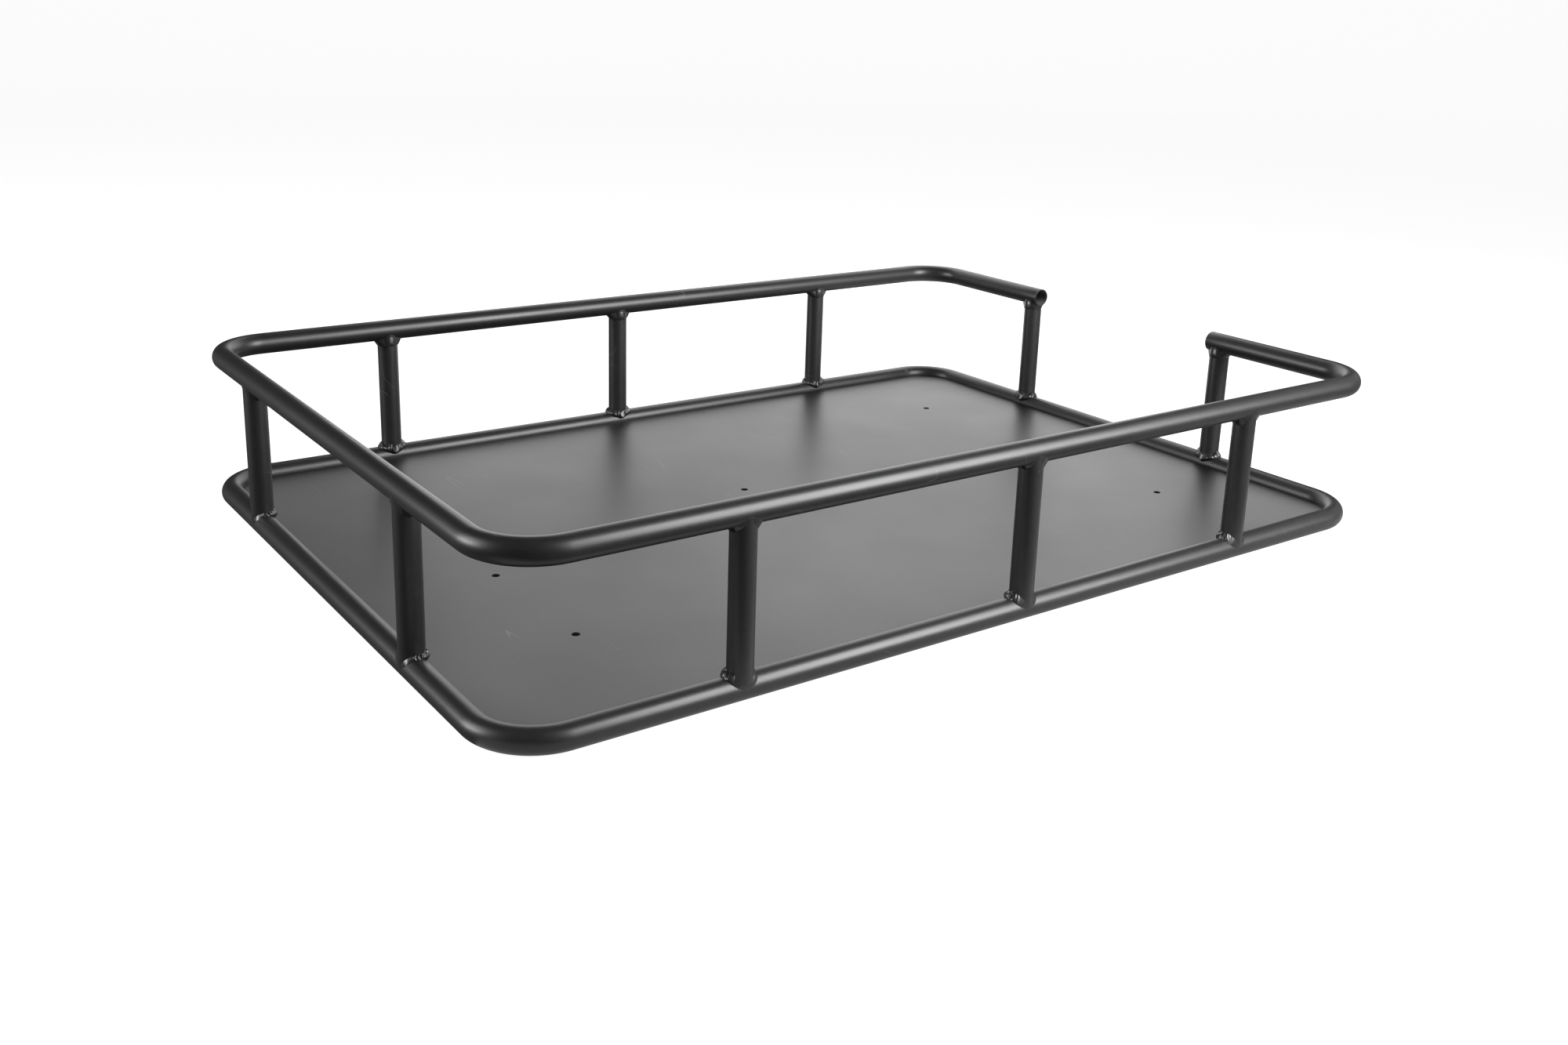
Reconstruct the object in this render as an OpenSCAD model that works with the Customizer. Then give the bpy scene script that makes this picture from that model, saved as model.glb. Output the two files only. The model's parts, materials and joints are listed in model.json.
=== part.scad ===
// Open luggage tray: a welded frame of round steel tube with a sheet steel deck.
// A closed base ring carries the deck, and ten posts carry a top rail that is
// open at one end.  X runs along the tray towards the open end, Y across it, Z up.
// The origin is the centre of the footprint, level with the underside of the ring.

/* [Tray] */
// Length over the base ring
tray_length = 1176; // [900:1:1400]
// Width over the base ring
tray_width = 832; // [650:1:1000]
// Overall height, from under the base ring to the top of the rail
tray_height = 193; // [120:1:260]

/* [Tube] */
// Outside diameter of every tube
tube_d = 25.4; // [22:0.1:30]
// Wall thickness of every tube
tube_wall = 1.5; // [1:0.1:2.5]
// Radius of the corner bends, to the middle of the tube
bend_r = 60; // [50:1:90]

/* [Open end] */
// Clear width between the two rail ends
gate_width = 320; // [200:1:400]
// Length of rail that stands past the last post on each side
rail_overhang = 3.3; // [2:0.1:10]

/* [Posts] */
// Places of the three posts of the back long side, along the tray
back_posts_x = [-355, -17, 332]; // [-450:1:450]
// Places of the three posts of the front long side, along the tray
front_posts_x = [-344, 4, 338]; // [-450:1:450]
// Places of the two posts of the closed end, across the tray
closed_end_posts_y = [231, -211]; // [-300:1:300]

/* [Deck] */
// Thickness of the deck sheet
deck_t = 2; // [1.5:0.1:4]
// Diameter of every hole in the deck
hole_d = 8.5; // [6:0.1:11]
// Length of the rectangle of mounting holes
hole_pitch_x = 832; // [500:1:860]
// Width of the rectangle of mounting holes
hole_pitch_y = 452; // [300:1:560]
// Place of the single hole beside the closed end, along the tray
end_hole_x = -418; // [-430:1:-380]
// Place of that hole across the tray
end_hole_y = -50; // [-120:1:120]
// Place of the single hole near the middle, along the tray
mid_hole_x = -34; // [-100:1:100]
// Place of that hole across the tray
mid_hole_y = 50; // [-120:1:120]

/* [Welds] */
// Leg of the fillet in the corner between a post and a tube
weld_leg = 7; // [4:0.1:9]
// Thickness of the same weld at the side of the joint
weld_side = 0.8; // [0.5:0.1:1.5]
// Length of each short weld that holds the deck to the ring
stitch_length = 40; // [20:1:80]
// Radius of those welds
stitch_r = 4; // [3:0.1:6]

/* [Hidden] */
frame_color = "#26272a";
weld_color = "#3a3b3e";
facets = 96;             // around a full circle
tube_r = tube_d / 2;
bore_r = tube_r - tube_wall;
half_l = tray_length / 2 - tube_r;  // ring centreline, from the middle
half_w = tray_width / 2 - tube_r;
ring_z = tube_r;
rail_z = tray_height - tube_r;
post_span = rail_z - ring_z;        // between the two centrelines
gate_post_y = gate_width / 2 + rail_overhang + tube_r;
eps = 0.01;              // lets a cutting tool pass through a face
clear = 20;              // lets a cutting tool run well past the work

// A post weld is two ball-shaped lobes, one in each corner of the joint, pared down at the
// sides by wide curves.  The balls pass through both toes of the fillet.
lobe_side = tube_r + 2 * weld_side;
lobe_c = (pow(tube_r + weld_leg, 2) + pow(tube_r, 2) - pow(lobe_side, 2))
    / (2 * (2 * tube_r + weld_leg));
lobe_r = sqrt(2 * pow(lobe_c, 2) + pow(lobe_side, 2));
paring_r = 30;

row_places = ["left", "middle", "right"];
sides = ["back", "front"];

// Each post: its name, its place, and the direction that the tubes run there.
POSTS = concat(
    [for (i = [0 : 2]) [str("back_", row_places[i]), [back_posts_x[i], half_w], 0]],
    [for (i = [0 : 2]) [str("front_", row_places[i]), [front_posts_x[i], -half_w], 0]],
    [for (i = [0 : 1]) [str("closed_end_", sides[i]), [-half_l, closed_end_posts_y[i]], 90]],
    [for (i = [0 : 1]) let (s = 1 - 2 * i)
        [str("open_end_", sides[i]), [half_l, s * gate_post_y], s * 90]]
);
POST_NODES = [for (p = POSTS) str("post_", p[0])];
FOOT_NODES = [for (p = POSTS) str("foot_weld_", p[0])];
HEAD_NODES = [for (p = POSTS) str("head_weld_", p[0])];
last = len(POSTS) - 1;

// A straight tube from x = a to x = b along the local X axis.
module straight_tube(a, b) {
    translate([a, 0, 0]) rotate([0, 90, 0]) difference() {
        cylinder(r = tube_r, h = b - a, $fn = facets);
        translate([0, 0, -eps]) cylinder(r = bore_r, h = b - a + 2 * eps, $fn = facets);
    }
}

// A quarter bend whose centre is at the origin, from the local +X side to +Y.
module corner_tube() {
    rotate_extrude(angle = 90, $fn = facets) translate([bend_r, 0]) difference() {
        circle(r = tube_r, $fn = facets);
        circle(r = bore_r, $fn = facets);
    }
}

// The two long sides and four corners, which the ring and the rail share.
module long_sides_and_corners() {
    run_x = half_l - bend_r;
    run_y = half_w - bend_r;
    for (side = [-1, 1]) translate([0, side * half_w, 0]) straight_tube(-run_x, run_x);
    translate([run_x, run_y, 0]) corner_tube();
    translate([-run_x, run_y, 0]) rotate([0, 0, 90]) corner_tube();
    translate([-run_x, -run_y, 0]) rotate([0, 0, 180]) corner_tube();
    translate([run_x, -run_y, 0]) rotate([0, 0, 270]) corner_tube();
}

// A straight across an end of the tray, from y = a to y = b.
module end_run(x, a, b) {
    translate([x, 0, 0]) rotate([0, 0, 90]) straight_tube(a, b);
}

module base_ring() {
    run_y = half_w - bend_r;
    color(frame_color) translate([0, 0, ring_z]) {
        long_sides_and_corners();
        for (x = [-half_l, half_l]) end_run(x, -run_y, run_y);
    }
}

module top_rail() {
    run_y = half_w - bend_r;
    color(frame_color) translate([0, 0, rail_z]) {
        long_sides_and_corners();
        end_run(-half_l, -run_y, run_y);
        end_run(half_l, gate_width / 2, run_y);
        end_run(half_l, -run_y, -gate_width / 2);
    }
}

// The sheet fills the ring.  Its top face is level with the middle of the tube.
module deck() {
    sheet_l = 2 * (half_l - tube_r);
    sheet_w = 2 * (half_w - tube_r);
    corner_r = bend_r - tube_r;
    color(frame_color) translate([0, 0, ring_z - deck_t]) difference() {
        union() {
            translate([-sheet_l / 2, corner_r - sheet_w / 2, 0])
                cube([sheet_l, sheet_w - 2 * corner_r, deck_t]);
            translate([corner_r - sheet_l / 2, -sheet_w / 2, 0])
                cube([sheet_l - 2 * corner_r, sheet_w, deck_t]);
            for (sx = [-1, 1], sy = [-1, 1])
                translate([sx * (sheet_l / 2 - corner_r), sy * (sheet_w / 2 - corner_r), 0])
                    cylinder(r = corner_r, h = deck_t, $fn = facets);
        }
        for (sx = [-1, 1], sy = [-1, 1])
            deck_hole(sx * hole_pitch_x / 2, sy * hole_pitch_y / 2);
        deck_hole(end_hole_x, end_hole_y);
        deck_hole(mid_hole_x, mid_hole_y);
    }
}

module deck_hole(x, y) {
    translate([x, y, -eps]) cylinder(d = hole_d, h = deck_t + 2 * eps, $fn = facets);
}

// Solid bar in place of a tube, to cut the saddle of a joint.
module tube_tool(length) {
    rotate([0, 90, 0]) cylinder(r = tube_r, h = length, center = true, $fn = facets);
}

// Puts its children at a post, with local X along the tubes and Z = 0 at the ring's middle.
module at_post(p) {
    translate([p[1][0], p[1][1], ring_z]) rotate([0, 0, p[2]]) children();
}

// A post: tube with a saddle cut in each end, so that it sits on the ring and under the rail.
module post(p) {
    color(frame_color) at_post(p) difference() {
        cylinder(r = tube_r, h = post_span, $fn = facets);
        translate([0, 0, -eps]) cylinder(r = bore_r, h = post_span + 2 * eps, $fn = facets);
        for (z = [0, post_span]) translate([0, 0, z]) tube_tool(tube_d + clear);
    }
}

// Lens-shaped bar along the local Z axis, as thick as a joint with its welds.
module paring_lens() {
    intersection_for (side = [-1, 1])
        translate([0, side * (paring_r - tube_r - weld_side), 0])
            cylinder(r = paring_r, h = 4 * tube_d, center = true, $fn = facets);
}

// Weld between a post and the tube that runs through the local origin along X.
module saddle_weld() {
    difference() {
        intersection() {
            for (side = [-1, 1]) translate([side * lobe_c, 0, lobe_c]) sphere(r = lobe_r, $fn = facets);
            paring_lens();
            rotate([0, 90, 0]) paring_lens();
        }
        cylinder(r = tube_r, h = 4 * tube_d, center = true, $fn = facets);
        tube_tool(4 * tube_d);
        translate([-2 * tube_d, -2 * tube_d, -2 * tube_d]) cube([4 * tube_d, 4 * tube_d, 2 * tube_d]);
    }
}

module foot_weld(p) {
    color(weld_color) at_post(p) saddle_weld();
}

// At the open end the weld stops at the rail's cut end.
module head_weld(p) {
    color(weld_color) at_post(p) translate([0, 0, post_span]) mirror([0, 0, 1]) difference() {
        saddle_weld();
        if (p[1][0] == half_l)
            translate([-tube_r - rail_overhang - clear, -tube_d, -eps])
                cube([clear, 2 * tube_d, tube_d + clear]);
    }
}

// One short weld under the edge of the deck, in the corner between sheet and ring.
module stitch_weld() {
    translate([0, tube_r, -deck_t]) difference() {
        rotate([0, 90, 0]) cylinder(r = stitch_r, h = stitch_length, center = true, $fn = facets);
        translate([-stitch_length, -tube_d, 0]) cube([2 * stitch_length, 2 * tube_d, tube_d]);
        translate([0, -tube_r, deck_t]) tube_tool(2 * stitch_length);
    }
}

// Four stitch welds on each long side and three on each end.
module deck_stitch_welds() {
    long_pitch = tray_length * 0.22;
    end_pitch = tray_width * 0.27;
    color(weld_color) translate([0, 0, ring_z]) {
        for (i = [-1.5, -0.5, 0.5, 1.5]) {
            translate([i * long_pitch, -half_w, 0]) stitch_weld();
            translate([i * long_pitch, half_w, 0]) rotate([0, 0, 180]) stitch_weld();
        }
        for (i = [-1, 0, 1]) {
            translate([half_l, i * end_pitch, 0]) rotate([0, 0, 90]) stitch_weld();
            translate([-half_l, i * end_pitch, 0]) rotate([0, 0, -90]) stitch_weld();
        }
    }
}

base_ring();
top_rail();
deck();
for (i = [0 : last]) post(POSTS[i]);
for (i = [0 : last]) foot_weld(POSTS[i]);
for (i = [0 : last]) head_weld(POSTS[i]);
deck_stitch_welds();
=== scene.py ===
import json
import math
import random

import bmesh
import bpy
from mathutils import Matrix, Vector, noise


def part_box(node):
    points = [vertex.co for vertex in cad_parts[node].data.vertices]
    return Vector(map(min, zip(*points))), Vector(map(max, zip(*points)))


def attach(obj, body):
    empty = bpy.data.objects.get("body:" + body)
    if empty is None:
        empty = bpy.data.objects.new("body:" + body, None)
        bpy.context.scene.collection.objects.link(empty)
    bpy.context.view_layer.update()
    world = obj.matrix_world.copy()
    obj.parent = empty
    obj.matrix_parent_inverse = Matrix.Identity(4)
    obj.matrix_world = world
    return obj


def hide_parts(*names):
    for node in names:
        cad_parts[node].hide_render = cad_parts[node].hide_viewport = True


# A welded luggage tray in satin black powder coat.  Every length is in metres.
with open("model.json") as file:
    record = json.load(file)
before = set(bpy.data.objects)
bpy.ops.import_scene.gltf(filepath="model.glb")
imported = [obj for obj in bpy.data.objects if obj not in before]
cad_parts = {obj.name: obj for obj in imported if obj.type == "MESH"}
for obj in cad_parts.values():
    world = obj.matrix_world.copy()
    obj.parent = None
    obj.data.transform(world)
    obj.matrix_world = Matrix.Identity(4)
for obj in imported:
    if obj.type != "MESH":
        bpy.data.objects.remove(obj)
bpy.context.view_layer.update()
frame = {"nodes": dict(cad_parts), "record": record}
MM = 0.001

# ---------------------------------------------------------------- sizes, from the frame
ring_low, ring_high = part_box("base_ring")
rail_low, rail_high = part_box("top_rail")
deck_low, deck_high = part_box("deck")
TUBE_R = (ring_high.z - ring_low.z) / 2
HALF_L = ring_high.x - TUBE_R          # tube centreline, from the middle of the tray
HALF_W = ring_high.y - TUBE_R
RING_Z = ring_low.z + TUBE_R
RAIL_Z = rail_high.z - TUBE_R
SPAN = RAIL_Z - RING_Z
MOUNTS = {m["name"]: m for m in frame["record"]["mounts"]}

# Three sizes that the frame's boxes don't show.
BEND_R = 60 * MM
WALL = 1.5 * MM
RAIL_OVERHANG = 3.3 * MM

SIDES = 64                             # facets round a tube
POST_NAMES = [n[len("post_"):] for n in frame["nodes"] if n.startswith("post_")]


def post_frame(name):
    """Local axes at a post: X along the tubes, Z up, origin at the middle of the ring."""
    low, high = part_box("post_" + name)
    x, y = (low.x + high.x) / 2, (low.y + high.y) / 2
    if name.startswith("closed_end"):
        angle = math.pi / 2
    elif name.startswith("open_end"):
        angle = math.copysign(math.pi / 2, y)
    else:
        angle = 0.0
    return Matrix.Translation((x, y, RING_Z)) @ Matrix.Rotation(angle, 4, "Z")


# ---------------------------------------------------------------- materials
def new_material(name):
    material = bpy.data.materials.new(name)
    material.use_nodes = True
    tree = material.node_tree
    return material, tree, tree.nodes["Principled BSDF"]


def add_node(tree, kind, **settings):
    node = tree.nodes.new(kind)
    for key, value in settings.items():
        if key in node.inputs:
            node.inputs[key].default_value = value
        else:
            setattr(node, key, value)
    return node


def noise_node(tree, coords, scale, detail=2.0, rough=0.5):
    node = add_node(tree, "ShaderNodeTexNoise", Scale=scale, Detail=detail, Roughness=rough)
    tree.links.new(coords, node.inputs["Vector"])
    return node.outputs["Fac"]


def ramp_node(tree, value, stops):
    """A colour ramp with grey stops, each (position, level)."""
    node = tree.nodes.new("ShaderNodeValToRGB")
    ramp = node.color_ramp
    ramp.elements[0].position, ramp.elements[-1].position = stops[0][0], stops[-1][0]
    for position, _ in stops[1:-1]:
        ramp.elements.new(position)
    for element, (_, level) in zip(ramp.elements, stops):
        element.color = (level, level, level, 1)
    tree.links.new(value, node.inputs["Fac"])
    return node.outputs["Color"]


def bump_node(tree, height, distance, strength, normal=None):
    node = add_node(tree, "ShaderNodeBump", Distance=distance, Strength=strength)
    tree.links.new(height, node.inputs["Height"])
    if normal is not None:
        tree.links.new(normal, node.inputs["Normal"])
    return node.outputs["Normal"]


def scratch_mask(tree, coords, cell, stretch, angle):
    """Sparse hairline scratches: thin cuts through a stretched noise, kept in a few patches."""
    turn = add_node(tree, "ShaderNodeMapping")
    turn.inputs["Rotation"].default_value = (0.3, 0.2, angle)
    turn.inputs["Scale"].default_value = (1.0, stretch, 1.0)
    tree.links.new(coords, turn.inputs["Vector"])
    lines = ramp_node(tree, noise_node(tree, turn.outputs["Vector"], cell, 1.0),
                      [(0.0, 0.0), (0.497, 0.0), (0.5, 1.0), (0.503, 0.0), (1.0, 0.0)])
    patches = ramp_node(tree, noise_node(tree, coords, cell * 0.6, 0.0),
                        [(0.0, 0.0), (0.70, 0.0), (0.74, 1.0), (1.0, 1.0)])
    both = add_node(tree, "ShaderNodeMath", operation="MULTIPLY")
    tree.links.new(lines, both.inputs[0])
    tree.links.new(patches, both.inputs[1])
    return both.outputs["Value"]


CLOUD_SCALE = 9.0                      # broad clouds in the gloss, in noise cells a metre
MOTTLE_SCALE = 140.0                   # fine mottle in the tone
MOTTLE_DEPTH = 0.02 * MM


def powder_coat(name, tone, gloss, peel_size, peel_depth, scratch_cell, wear):
    """Satin black powder coat.

    tone is the two base levels, gloss the two roughness levels, peel_size and peel_depth the
    width and height of the orange peel, scratch_cell the noise scale of the scratches, and
    wear the grey that edges and scratches rub through to.
    """
    material, tree, shader = new_material(name)
    coords = add_node(tree, "ShaderNodeTexCoord").outputs["Object"]
    cloud = noise_node(tree, coords, CLOUD_SCALE, 3.0)
    mottle = noise_node(tree, coords, MOTTLE_SCALE, 2.0)
    blend = add_node(tree, "ShaderNodeMix", data_type="RGBA", blend_type="MIX")
    dust = ramp_node(tree, mottle, [(0.35, tone[0]), (0.72, tone[1])])
    tree.links.new(dust, blend.inputs["A"])
    blend.inputs["B"].default_value = (wear, wear, wear * 1.03, 1)
    edge = ramp_node(tree, add_node(tree, "ShaderNodeNewGeometry").outputs["Pointiness"],
                     [(0.0, 0.0), (0.60, 0.0), (0.74, 0.5), (1.0, 0.5)])
    marks = add_node(tree, "ShaderNodeMath", operation="MAXIMUM")
    tree.links.new(edge, marks.inputs[0])
    tree.links.new(scratch_mask(tree, coords, scratch_cell, 0.12, 0.7), marks.inputs[1])
    tree.links.new(marks.outputs["Value"], blend.inputs["Factor"])
    tree.links.new(blend.outputs["Result"], shader.inputs["Base Color"])

    gloss_map = ramp_node(tree, cloud, [(0.3, gloss[0]), (0.7, gloss[1])])
    tree.links.new(gloss_map, shader.inputs["Roughness"])
    peel = noise_node(tree, coords, 1 / peel_size, 2.0, 0.45)
    peel_normal = bump_node(tree, peel, peel_depth, 1.0)
    normal = bump_node(tree, mottle, MOTTLE_DEPTH, 0.6, peel_normal)
    tree.links.new(normal, shader.inputs["Normal"])
    shader.inputs["Specular IOR Level"].default_value = 0.5
    return material


TUBE_COAT = powder_coat("tube_powder_coat", (0.010, 0.013), (0.38, 0.42), 1.6 * MM,
                        0.010 * MM, 30.0, 0.09)
DECK_COAT = powder_coat("deck_powder_coat", (0.010, 0.013), (0.38, 0.41), 1.8 * MM,
                        0.004 * MM, 22.0, 0.07)
# The powder barely reaches the inside of a tube, which stays a dull steel grey, set lighter as
# painted light for the reflections down the bore.
BORE_COAT = powder_coat("tube_bore", (0.08, 0.11), (0.50, 0.60), 2.5 * MM, 0.010 * MM, 30.0, 0.15)
WELD_COAT = powder_coat("weld_powder_coat", (0.012, 0.018), (0.27, 0.34), 1.4 * MM,
                        0.006 * MM, 60.0, 0.10)


# ---------------------------------------------------------------- mesh tools
def add_piece(name, verts, faces, material, nodes):
    """A smooth-shaded mesh object that rides on the tray in place of the CAD nodes."""
    mesh = bpy.data.meshes.new(name)
    mesh.from_pydata(verts, [], faces)
    mesh.validate()
    tidy = bmesh.new()
    tidy.from_mesh(mesh)
    bmesh.ops.recalc_face_normals(tidy, faces=tidy.faces)
    tidy.to_mesh(mesh)
    tidy.free()
    mesh.shade_smooth()
    mesh.materials.append(material)
    piece = bpy.data.objects.new(name, mesh)
    bpy.context.scene.collection.objects.link(piece)
    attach(piece, "root")
    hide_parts(*nodes)
    return piece


def skin(loops, wrap):
    """Joins equal loops of points into quads.  With wrap, the last loop joins the first."""
    count = len(loops[0])
    verts = [p for loop in loops for p in loop]
    faces = []
    for i in range(len(loops) if wrap else len(loops) - 1):
        a, b = i * count, (i + 1) % len(loops) * count
        for j in range(count):
            k = (j + 1) % count
            faces.append((a + j, a + k, b + k, b + j))
    return verts, faces


def smoothstep(value):
    value = min(max(value, 0.0), 1.0)
    return value * value * (3 - 2 * value)


# ---------------------------------------------------------------- tubes
STRAIGHT_STEP = 40 * MM
BEND_STEPS = 24
BEND_FLATTENING = 0.08                 # share of its radius that a bend's outside loses


def straight_stations(start, end, z):
    """Stations along a straight: (point, outward direction, bend amount)."""
    start, end = Vector((*start, z)), Vector((*end, z))
    steps = max(1, round((end - start).length / STRAIGHT_STEP))
    along = (end - start).normalized()
    outward = Vector((along.y, -along.x, 0))
    return [(start.lerp(end, i / steps), outward, 0.0) for i in range(steps + 1)]


def corner_stations(centre, start_angle, z):
    """Stations round a quarter bend, without its two ends, which the straights hold."""
    stations = []
    for i in range(1, BEND_STEPS):
        angle = start_angle + math.pi / 2 * i / BEND_STEPS
        outward = Vector((math.cos(angle), math.sin(angle), 0))
        point = Vector((*centre, z)) + outward * BEND_R
        stations.append((point, outward, math.sin(math.pi * i / BEND_STEPS)))
    return stations


def run_round(z, gap):
    """Anticlockwise from the open end's back half round to its front half."""
    x, y = HALF_L - BEND_R, HALF_W - BEND_R
    quarter = math.pi / 2
    return (straight_stations((HALF_L, gap), (HALF_L, y), z)
            + corner_stations((x, y), 0, z)
            + straight_stations((x, HALF_W), (-x, HALF_W), z)
            + corner_stations((-x, y), quarter, z)
            + straight_stations((-HALF_L, y), (-HALF_L, -y), z)
            + corner_stations((-x, -y), 2 * quarter, z)
            + straight_stations((-x, -HALF_W), (x, -HALF_W), z)
            + corner_stations((x, -y), 3 * quarter, z)
            + straight_stations((HALF_L, -y), (HALF_L, -gap), z))


def tube_loop(station, radius, along=0.0):
    """One loop of points round a tube, moved a little way along the tube if need be."""
    point, outward, bend = station
    forward = Vector((-outward.y, outward.x, 0))
    loop = []
    for i in range(SIDES):
        angle = 2 * math.pi * i / SIDES
        reach = math.cos(angle) * (1 - BEND_FLATTENING * bend * (math.cos(angle) > 0))
        loop.append(point + outward * radius * reach
                    + Vector((0, 0, radius * math.sin(angle))) + forward * along)
    return loop


RIM_FILLET = 0.45 * MM
RIM_STEPS = 5


def rim_loops(station, direction):
    """From the outside of a cut tube end, over its softened rim, to the bore."""
    loops = []
    for i in range(RIM_STEPS + 1):
        angle = math.pi / 2 * i / RIM_STEPS
        radius = TUBE_R - RIM_FILLET * (1 - math.cos(angle))
        loops.append(tube_loop(station, radius, direction * RIM_FILLET * (math.sin(angle) - 1)))
    for i in range(RIM_STEPS + 1):
        angle = math.pi / 2 * (1 - i / RIM_STEPS)
        radius = TUBE_R - WALL + RIM_FILLET * (1 - math.cos(angle))
        loops.append(tube_loop(station, radius, direction * RIM_FILLET * (math.sin(angle) - 1)))
    return loops


def make_base_ring():
    stations = run_round(RING_Z, 0.0)[:-1]
    verts, faces = skin([tube_loop(s, TUBE_R) for s in stations], wrap=True)
    add_piece("base_ring_tube", verts, faces, TUBE_COAT, ["base_ring"])


def make_top_rail(gate_half):
    stations = run_round(RAIL_Z, gate_half)
    outside = [tube_loop(s, TUBE_R) for s in stations[1:-1]]
    inside = [tube_loop(s, TUBE_R - WALL) for s in stations[-2:0:-1]]
    loops = (outside + rim_loops(stations[-1], 1) + inside
             + rim_loops(stations[0], -1)[::-1])
    verts, faces = skin(loops, wrap=True)
    rail = add_piece("top_rail_tube", verts, faces, TUBE_COAT, ["top_rail"])
    rail.data.materials.append(BORE_COAT)
    first = loops.index(inside[0]) - 1     # the bore runs from rim to rim
    last = first + len(inside) + 1
    for face in rail.data.polygons[first * SIDES:last * SIDES]:
        face.material_index = 1


TIP_TRIM = 4.5 * MM                    # a saddle's thin tips melt into the weld
# Heights of a post's rows, as shares of its length: close together near both ends.
POST_ROWS = [0.0, 0.002, 0.02, 0.1, 0.3, 0.5, 0.7, 0.9, 0.98, 0.998, 1.0]


def make_post(name):
    """A post with a saddle cut in both ends, hollow right through."""
    at = post_frame(name)
    bore = TUBE_R - WALL

    def loop(radius, share):
        points = []
        for i in range(SIDES):
            angle = 2 * math.pi * i / SIDES
            x, y = radius * math.cos(angle), radius * math.sin(angle)
            saddle = max(math.sqrt(max(TUBE_R ** 2 - y ** 2, 0.0)), TIP_TRIM)
            points.append(at @ Vector((x, y, saddle + (SPAN - 2 * saddle) * share)))
        return points

    outside = [loop(TUBE_R, share) for share in POST_ROWS]
    inside = [loop(bore, share) for share in reversed(POST_ROWS)]
    verts, faces = skin(outside + inside, wrap=True)
    add_piece("post_tube_" + name, verts, faces, TUBE_COAT, ["post_" + name])


# ---------------------------------------------------------------- welds
WELD_AROUND = 288                      # facets round a weld
WELD_ACROSS = 26                       # facets across it
RIPPLE_PITCH = 4.0 * MM
SUNK = 0.3 * MM                        # how far a weld's edges lie inside the tubes
TRAVEL = 1.2 * TUBE_R                  # weld length for each radian round the post
WOBBLE = 0.14                          # how unevenly a weld's edges run
SIDE_THICK = 0.8 * MM                  # the thinnest part, at the side of the joint
TIP_COVER = 1.5 * MM                   # how far a weld reaches past a post's trimmed tip
CUT_END_RISE = 2.5 * MM                # extra reach down the post at a cut rail end
FILLET_CROWN = 0.06 * MM               # bulge where the bead has died out
ARCH_POWER = 0.7                       # below 1 makes the bead's section fuller
ROOT_LOW, ROOT_DEPTH = 3.0 * MM, 0.9 * MM
BUTTON_SOFT = 0.16                     # width of a button's edge, as a share of its radius
BUTTON_GROOVE = 0.7 * MM               # depth of the groove round it
BUTTON_RISE = (1.6 * MM, 5.0 * MM)     # height of its disc at the top and at the bottom
SLIM_UP, SLIM_OUT, SLIM_END = 4.0 * MM, 3.2 * MM, math.radians(104)
# Where a corner's weld is slim: 0 is the corner at local +X, 1 the one at local -X.
SLIM_CORNERS = {
    "foot": {"front_left": [0], "front_middle": [0], "front_right": [0],
             "closed_end_front": [1], "closed_end_back": [1]},
    "head": {"front_left": [1], "front_middle": [1]},
}


class WeldStyle:
    """What one weld is like: a thick collar at the tray's inside, a thin fillet outside."""

    def __init__(self, seed, inner, foot, cut_end, slim_corners):
        draw = random.Random(seed)
        self.seed = seed
        self.inner = inner                     # local Y sign of the tray's inside
        self.cut_end = cut_end
        rise, reach = ((6.0, 8.0), (4.8, 6.6)) if foot else ((5.5, 8.0), (4.5, 6.0))
        self.up = [draw.uniform(*rise) * MM for _ in range(2)]
        self.out = [draw.uniform(*reach) * MM for _ in range(2)]
        self.collar = (draw.uniform(16, 18) if foot else draw.uniform(18, 19.5)) * MM
        self.phase = draw.uniform(0, 1)
        self.end = [math.radians(draw.uniform(114, 126)) for _ in range(2)]
        for k in slim_corners:
            self.up[k], self.out[k], self.end[k] = SLIM_UP, SLIM_OUT, SLIM_END
        # Where the two passes meet, the welder leaves a round button.
        self.button = math.radians(draw.uniform(-12, 12))
        self.button_r = 5.2 * MM if foot else 0.0
        self.low_inside = (4.6 if foot else 7.0) * MM
        self.lean = 0.7 if foot else -0.3      # which toe the collar bulges towards
        self.crown_corner = (0.6 if foot else -0.35) * MM
        self.crown_inside = (2.8 if foot else 0.9) * MM
        self.ripple = (0.36 if foot else 0.03) * MM
        self.lump = (0.46 if foot else 0.24) * MM


def blend(a, b, share):
    return a + (b - a) * share


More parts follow.
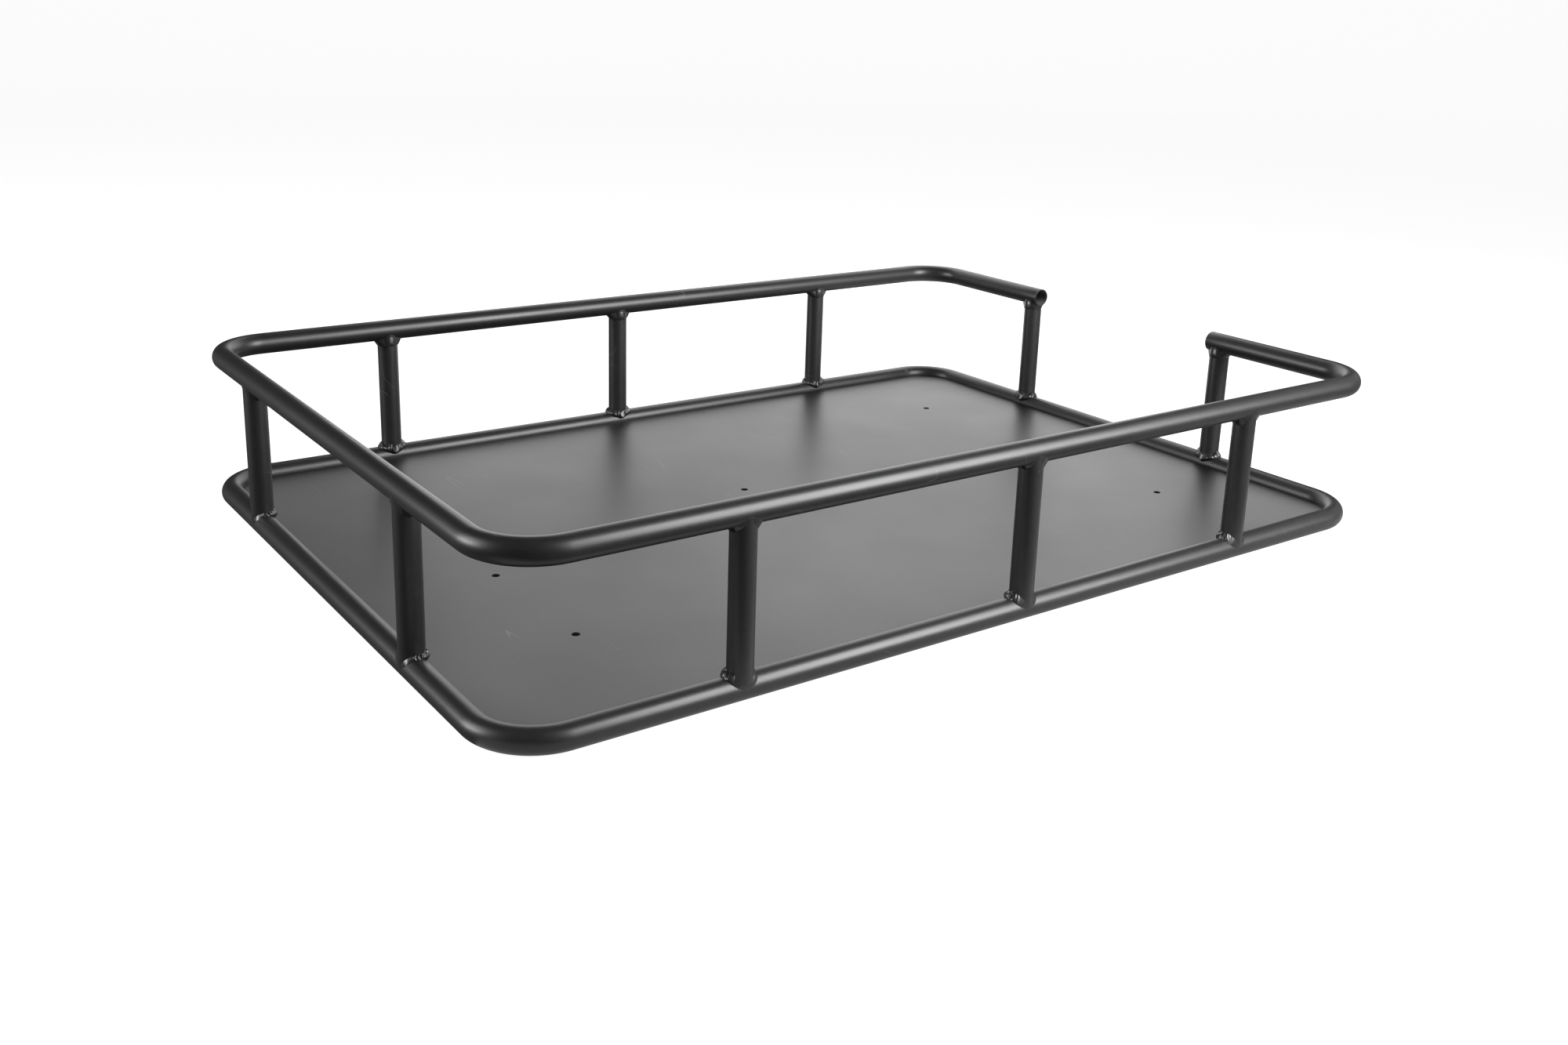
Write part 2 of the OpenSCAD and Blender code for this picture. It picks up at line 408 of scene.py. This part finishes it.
def weld_toes(style, turn):
    """The weld's upper and lower edge at one turn round the post.

    turn is 0 at the tray's inside and 90 degrees in a corner of the joint.
    """
    side = 1 if math.sin(turn) >= 0 else -1
    share = smoothstep(0.5 - math.sin(turn) / 0.8)
    corner, inward = abs(math.sin(turn)), math.cos(turn)
    spot = Vector((math.sin(turn) * 3, inward * 3, style.seed * 3.1))
    wobble = 1 + WOBBLE * noise.noise(spot)
    to_inside = smoothstep(inward * 1.25)
    up, out = blend(*style.up, share) * wobble, blend(*style.out, share) * wobble
    if style.cut_end and side < 0:
        # Room is short at a cut rail end, so the weld runs from the rim down the post.
        out = RAIL_OVERHANG - 0.1 * MM
        up += CUT_END_RISE * corner
    top = max(TUBE_R * corner + up, TIP_TRIM + TIP_COVER)
    top = blend(top, style.collar * wobble, to_inside)
    upper = Vector((TUBE_R * math.sin(turn), style.inner * TUBE_R * inward, top))

    lowest = blend(SIDE_THICK, style.low_inside, to_inside)
    x = side * corner * (TUBE_R + out * smoothstep(corner * 1.15))
    z = blend(lowest, TUBE_R, corner ** 2.3)
    y = math.sqrt(max(TUBE_R ** 2 - min(z, abs(x)) ** 2, 0.0))
    lower = Vector((x, math.copysign(y, style.inner * inward), z))
    upper -= Vector((upper.x, upper.y, 0)).normalized() * SUNK
    lower -= Vector((0, lower.y, lower.z)).normalized() * SUNK
    return upper, lower, to_inside


def button_share(style, turn, across):
    """How much of a point is on the button, and how much in the groove round it."""
    if not style.button_r:
        return 0.0, 0.0
    gap = math.hypot((turn - style.button) * TRAVEL, across) / style.button_r
    button = 1 - smoothstep((gap - 1 + BUTTON_SOFT) / BUTTON_SOFT)
    return button, max(0.0, 1 - abs(gap - 1.12) / BUTTON_SOFT)


def weld_section(style, turn):
    """Points across the weld at one turn round the post, in the joint's own axes."""
    upper, lower, to_inside = weld_toes(style, turn)
    width = (upper - lower).length
    corner, inward = abs(math.sin(turn)), math.cos(turn)
    outward = Vector((math.sin(turn), 2 * style.inner * inward, corner + 0.15)).normalized()
    end = style.end[0 if math.sin(turn) >= 0 else 1]
    bead = 1 - smoothstep((abs(turn) - end + 0.1) / 0.3)
    crown = blend(style.crown_corner, style.crown_inside, to_inside)
    crown = blend(FILLET_CROWN, crown, bead)
    travel = TRAVEL * abs(turn)
    points = []
    for i in range(WELD_ACROSS + 1):
        t = i / WELD_ACROSS
        arch = math.sin(math.pi * t ** (1 + style.lean * to_inside))
        arch = arch ** ARCH_POWER if 0 < i < WELD_ACROSS else 0.0
        spot = upper.lerp(lower, t)
        drift = noise.noise(spot * 110 + Vector((0, style.seed * 2.9, 0)))
        chevron = travel / RIPPLE_PITCH + style.phase + 0.4 * (2 * t - 1) ** 2 + 0.5 * drift
        ripple = math.sin(2 * math.pi * chevron) + 0.15 * math.sin(4 * math.pi * chevron)
        lump = noise.noise(spot * 150 + Vector((style.seed * 1.7, 0, 0)))
        texture = (style.ripple * (1 + 0.6 * drift) * ripple + style.lump * lump) * bead
        button, groove = button_share(style, turn, (t - 0.47) * width)
        lift = (SUNK + crown + texture * (1 - button)) * arch - BUTTON_GROOVE * groove
        # The button is a flat disc that leans back a little.
        lift = blend(lift, blend(*BUTTON_RISE, t), button)
        points.append(spot + outward * lift)
    # The last point is the weld's root, inside the joint.
    post_side = Vector((math.sin(turn), style.inner * inward, 0))
    root = post_side * TUBE_R + Vector((0, 0, max(TUBE_R * corner, ROOT_LOW)))
    return points + [root - post_side.normalized() * ROOT_DEPTH]


def make_weld(name, kind, post_name, seed):
    """The weld at one end of a post, as a closed bead round the joint."""
    at = post_frame(post_name)
    foot = kind == "foot"
    across = at.to_3x3() @ Vector((0, 1, 0))
    inner = 1 if across.dot(at.translation) < 0 else -1
    if not foot:
        at = at @ Matrix.Translation((0, 0, SPAN)) @ Matrix.Scale(-1, 4, Vector((0, 0, 1)))
    slim_corners = SLIM_CORNERS[kind].get(post_name, [])
    cut_end = not foot and post_name.startswith("open_end")
    style = WeldStyle(seed, inner, foot, cut_end, slim_corners)
    loops = []
    for i in range(WELD_AROUND):
        turn = math.pi * (2 * i / WELD_AROUND - 1)
        loops.append([at @ p for p in weld_section(style, turn)])
    verts, faces = skin(loops, wrap=True)
    add_piece(name, verts, faces, WELD_COAT, [f"{kind}_weld_{post_name}"])


# ---------------------------------------------------------------- deck
def circle(centre, radius, count):
    return [Vector((centre[0] + radius * math.cos(2 * math.pi * i / count),
                    centre[1] + radius * math.sin(2 * math.pi * i / count)))
            for i in range(count)]


def rounded_outline(half_x, half_y, radius, steps):
    points = []
    for k, (sx, sy) in enumerate(((1, 1), (-1, 1), (-1, -1), (1, -1))):
        for i in range(steps + 1):
            angle = math.pi / 2 * (k + i / steps)
            points.append(Vector((sx * (half_x - radius) + radius * math.cos(angle),
                                  sy * (half_y - radius) + radius * math.sin(angle))))
    return points


def deck_holes():
    """(x, y, radius) of each hole, from the record's mounts."""
    pattern = MOUNTS["deck_mounting_holes"]["dims"]
    radius = pattern["hole_r_mm"] * MM
    half_x, half_y = pattern["spacing_x_mm"] / 2 * MM, pattern["spacing_y_mm"] / 2 * MM
    holes = [(sx * half_x, sy * half_y, radius) for sx in (-1, 1) for sy in (-1, 1)]
    for name in ("closed_end_hole", "middle_hole"):
        x, y, _ = MOUNTS[name]["pos_m"]
        holes.append((x, y, MOUNTS[name]["dims"]["r_mm"] * MM))
    return holes


def make_deck():
    """The sheet: two flat faces, and softened walls round its edge and its holes."""
    soft = 0.3 * MM                        # chamfer of every edge
    half_x, half_y = deck_high.x, deck_high.y
    corner = BEND_R - TUBE_R
    outlines = [lambda inset: rounded_outline(half_x - inset, half_y - inset, corner - inset, 24)]
    for x, y, r in deck_holes():
        outlines.append(lambda inset, c=(x, y), r=r: circle(c, r + inset, 40))

    mesh = bmesh.new()
    levels = [(deck_high.z, soft), (deck_high.z - soft, 0.0), (deck_low.z + soft, 0.0),
              (deck_low.z, soft)]
    rims = {0: [], 3: []}
    for outline in outlines:
        loops = []
        for level, inset in levels:
            loops.append([mesh.verts.new((p.x, p.y, level)) for p in outline(inset)])
        for a, b in zip(loops, loops[1:]):
            for j in range(len(a)):
                k = (j + 1) % len(a)
                mesh.faces.new((a[j], a[k], b[k], b[j]))
        for side in rims:
            ring = loops[side]
            for j in range(len(ring)):
                rims[side].append(mesh.edges.get((ring[j], ring[(j + 1) % len(ring)])))
    for edges in rims.values():
        bmesh.ops.triangle_fill(mesh, use_beauty=True, use_dissolve=False, edges=edges)
    bmesh.ops.recalc_face_normals(mesh, faces=mesh.faces)
    data = bpy.data.meshes.new("deck_sheet")
    mesh.to_mesh(data)
    mesh.free()
    data.materials.append(DECK_COAT)
    piece = bpy.data.objects.new("deck_sheet", data)
    bpy.context.scene.collection.objects.link(piece)
    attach(piece, "root")
    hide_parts("deck")
    return piece


# ---------------------------------------------------------------- welds under the deck
STITCH_LENGTH = 40 * MM
STITCH_R = 4 * MM
STITCH_RIPPLE, STITCH_LUMP = 0.22 * MM, 0.15 * MM
STITCH_BODY = STITCH_R - 0.35 * MM     # leaves room for the ripples and lumps
LONG_SIDE_PITCH = 0.22                 # between welds, as a share of the tray's length
END_PITCH = 0.27                       # and as a share of its width


def stitch_bead(at, seed):
    """One rippled bead in the corner between the deck's underside and the ring."""
    along_steps, around_steps = 90, 10
    deck_drop = RING_Z - deck_low.z
    corner = Vector((0, math.sqrt(TUBE_R ** 2 - deck_drop ** 2), -deck_drop))
    loops = []
    for i in range(along_steps + 1):
        share = i / along_steps
        x = (share - 0.5) * STITCH_LENGTH
        end = math.sqrt(max(1 - abs(2 * share - 1) ** 5, 0.0004))
        loop = []
        for j in range(around_steps + 1):
            angle = math.radians(-100 + 100 * j / around_steps)
            ripple = abs(math.sin(math.pi * x / RIPPLE_PITCH + 1.2 * math.sin(angle * 1.8)))
            lump = noise.noise(Vector((x * 160, angle, seed * 2.3)))
            radius = (STITCH_BODY + STITCH_RIPPLE * ripple + STITCH_LUMP * lump) * end
            loop.append(at @ (corner + Vector((x, radius * math.cos(angle),
                                               radius * math.sin(angle)))))
        loop.append(at @ (corner + Vector((x, -0.4 * MM * end, 0.3 * MM * end))))
        loops.append(loop)
    verts, faces = skin(loops, wrap=False)
    count = len(loops[0])
    faces.append(tuple(range(count)))
    faces.append(tuple(len(verts) - count + j for j in reversed(range(count))))
    return verts, faces


def make_stitch_welds():
    """Four beads under each long side and three under each end, as the frame has them."""
    long_pitch = 2 * ring_high.x * LONG_SIDE_PITCH
    end_pitch = 2 * ring_high.y * END_PITCH
    places = []
    for i in (-1.5, -0.5, 0.5, 1.5):
        places.append((i * long_pitch, -HALF_W, 0))
        places.append((i * long_pitch, HALF_W, math.pi))
    for i in (-1, 0, 1):
        places.append((HALF_L, i * end_pitch, math.pi / 2))
        places.append((-HALF_L, i * end_pitch, -math.pi / 2))
    verts, faces = [], []
    for seed, (x, y, angle) in enumerate(places):
        at = Matrix.Translation((x, y, RING_Z)) @ Matrix.Rotation(angle, 4, "Z")
        more_verts, more_faces = stitch_bead(at, seed)
        faces += [tuple(k + len(verts) for k in face) for face in more_faces]
        verts += more_verts
    add_piece("deck_stitch_beads", verts, faces, WELD_COAT, ["deck_stitch_welds"])


# ---------------------------------------------------------------- stage, light and camera
FLOOR_GLOW = 0.93
FLOOR_DROP = 0.2 * MM                  # keeps the floor just clear of the ring
SHADE_DROP = 0.1 * MM                  # the painted shadow sheet lies between the floor and the ring
CARD_DROP = 1.0 * MM                   # the bounce cards lie under the floor
COVE_FLAT, COVE_BEND, COVE_HEIGHT = 6.0, 2.0, 10.0
COVE_SIDES, COVE_STEPS = 96, 12


def matt_material(name, colour, glow):
    material = bpy.data.materials.new(name)
    material.use_nodes = True
    tree = material.node_tree
    tree.nodes.clear()
    light = add_node(tree, "ShaderNodeEmission", Color=(1, 1, 1, 1), Strength=glow)
    matt = add_node(tree, "ShaderNodeBsdfDiffuse", Color=(colour, colour, colour, 1))
    both = add_node(tree, "ShaderNodeAddShader")
    out = add_node(tree, "ShaderNodeOutputMaterial")
    tree.links.new(light.outputs["Emission"], both.inputs[0])
    tree.links.new(matt.outputs["BSDF"], both.inputs[1])
    tree.links.new(both.outputs["Shader"], out.inputs["Surface"])
    return material


def add_backdrop(name, verts, faces, material):
    """A sheet that only the camera sees.  The bounce cards do the floor's lighting."""
    data = bpy.data.meshes.new(name)
    data.from_pydata(verts, [], faces)
    data.shade_smooth()
    data.materials.append(material)
    sheet = bpy.data.objects.new(name, data)
    bpy.context.scene.collection.objects.link(sheet)
    sheet.visible_diffuse = False
    sheet.visible_glossy = False
    sheet.visible_transmission = False
    sheet.visible_shadow = False


def make_floor():
    """A plain white studio cove, and a dark sheet under the tray that is painted shadow on the
    floor.
    """
    profile = [(0.01, 0.0), (COVE_FLAT, 0.0)]
    for i in range(1, COVE_STEPS + 1):
        angle = math.pi / 2 * i / COVE_STEPS
        profile.append((COVE_FLAT + COVE_BEND * math.sin(angle), COVE_BEND * (1 - math.cos(angle))))
    profile.append((COVE_FLAT + COVE_BEND, COVE_HEIGHT))
    loops = []
    for radius, height in profile:
        loops.append([Vector((p.x, p.y, height - FLOOR_DROP))
                      for p in circle((0, 0), radius, COVE_SIDES)])
    verts, faces = skin(loops, wrap=False)
    faces.append(tuple(range(COVE_SIDES)))     # closes the small hole in the middle
    add_backdrop("floor", verts, faces, matt_material("pale_floor", 0.25, FLOOR_GLOW))

    # A dark sheet over the tray's footprint paints the shadow that the glowing floor can't take; it
    # shows through the deck's holes.
    outline = rounded_outline(HALF_L, HALF_W, BEND_R, 12)
    shade = [Vector((p.x, p.y, -SHADE_DROP)) for p in outline]
    add_backdrop("floor_shade", shade, [tuple(range(len(shade)))],
                 matt_material("shade", 0.02, 0.004))


def area_light(name, place, aim, width, height, radiance):
    """A rectangular soft box.  Its brightness doesn't change with its size."""
    data = bpy.data.lights.new(name, "AREA")
    data.shape = "RECTANGLE"
    data.size = width
    data.size_y = height
    data.energy = math.pi * width * height * radiance
    lamp = bpy.data.objects.new(name, data)
    bpy.context.scene.collection.objects.link(lamp)
    lamp.location = place
    lamp.rotation_mode = "QUATERNION"
    lamp.rotation_quaternion = (Vector(aim) - Vector(place)).to_track_quat("-Z", "Y")
    lamp.visible_camera = False


def soft_box(name, azimuth, elevation, distance, width, height, radiance):
    """A soft box that faces the tray.  Azimuth is in degrees from +Y towards +X."""
    az, el = math.radians(azimuth), math.radians(elevation)
    place = Vector((math.sin(az) * math.cos(el), math.cos(az) * math.cos(el), math.sin(el)))
    area_light(name, place * distance, (0, 0, 0), width, height, radiance)


def make_lights():
    world = bpy.data.worlds.new("studio")
    bpy.context.scene.world = world
    world.use_nodes = True
    backdrop = world.node_tree.nodes["Background"]
    backdrop.inputs["Color"].default_value = (1, 1, 1, 1)
    backdrop.inputs["Strength"].default_value = AMBIENT
    for light in SOFT_BOXES + DECK_BOXES:
        soft_box(*light)
    for name, x, y, size_x, size_y, radiance in BOUNCE_CARDS:
        area_light(name, (x, y, -CARD_DROP), (x, y, 1), size_x, size_y, radiance)


AMBIENT = 0.067
# name, azimuth, elevation, distance, width, height, radiance
SOFT_BOXES = [
    ("key_low", 152, 21, 2.0, 0.95, 0.66, 21),
    ("key_high", 152, 40, 2.0, 0.95, 0.66, 19.5),
    ("left_low", 292, 12, 3.45, 1.6, 0.85, 17),
    ("left_high", 292, 28, 3.45, 1.6, 0.85, 6.5),
    ("back_left", 20, 18, 1.6, 0.9, 1.8, 1.9),
    ("back_right", 52, 18, 1.6, 0.9, 1.8, 2.3),
    ("right", 95, 25, 2.5, 1.5, 1.5, 0.35),
]
# These give the deck its sheen where the others don't reach, and light nothing else.
DECK_BOXES = [
    ("deck_far_left", 352, 18, 1.6, 0.6, 1.8, 0.8),
    ("deck_far_right", 80, 18, 1.6, 0.6, 1.8, 1.8),
]
for side in range(115, 308, 48):
    DECK_BOXES.append((f"deck_{side}", side, 18, 2.6, 2.4, 1.0, 1.6))
# name, middle (x, y), size along X and along Y, radiance
BOUNCE_CARDS = [
    ("bounce_wide", 0, 0, 8.0, 8.0, 0.05),
    ("bounce_front", 0.0, -0.43, 1.6, 0.14, 0.6),
    ("bounce_right", 0.80, 0.0, 0.4, 1.0, 12),
]


def link_lamps(piece, lamp_names, state):
    """Keeps some lamps off a piece (EXCLUDE) or on it alone (INCLUDE), as studio flags do."""
    linked = bpy.data.collections.new(f"{state.lower()}_{piece.name}")
    linked.objects.link(piece)
    linked.collection_objects[0].light_linking.link_state = state
    for name in lamp_names:
        bpy.data.objects[name].light_linking.receiver_collection = linked


def make_camera():
    data = bpy.data.cameras.new("camera")
    camera = bpy.data.objects.new("camera", data)
    bpy.context.scene.collection.objects.link(camera)
    data.sensor_width = 36
    data.lens = 34.499
    # The photo is cropped off the lens's axis, so its uprights converge less.
    data.shift_y = -0.075
    data.clip_start, data.clip_end = 0.05, 400
    camera.location = (-1.0419, -1.4237, 0.6222)
    camera.rotation_euler = [math.radians(a) for a in (74.405, -1.725, -35.373)]
    bpy.context.scene.camera = camera


make_camera()
make_lights()
make_floor()
bpy.context.scene.view_settings.view_transform = "Standard"

make_base_ring()
last_post = post_frame("open_end_back").translation.y
make_top_rail(last_post - TUBE_R - RAIL_OVERHANG)
deck_piece = make_deck()
# The glare of the strong boxes would wash out the deck's sheen from other sides.
link_lamps(deck_piece, ["key_low", "key_high", "left_low", "left_high"], "EXCLUDE")
link_lamps(deck_piece, [box[0] for box in DECK_BOXES], "INCLUDE")
FOOT_SEED, HEAD_SEED = 10, 40
for number, post in enumerate(POST_NAMES):
    make_post(post)
    make_weld("foot_bead_" + post, "foot", post, FOOT_SEED + number)
    make_weld("head_bead_" + post, "head", post, HEAD_SEED + number)
make_stitch_welds()
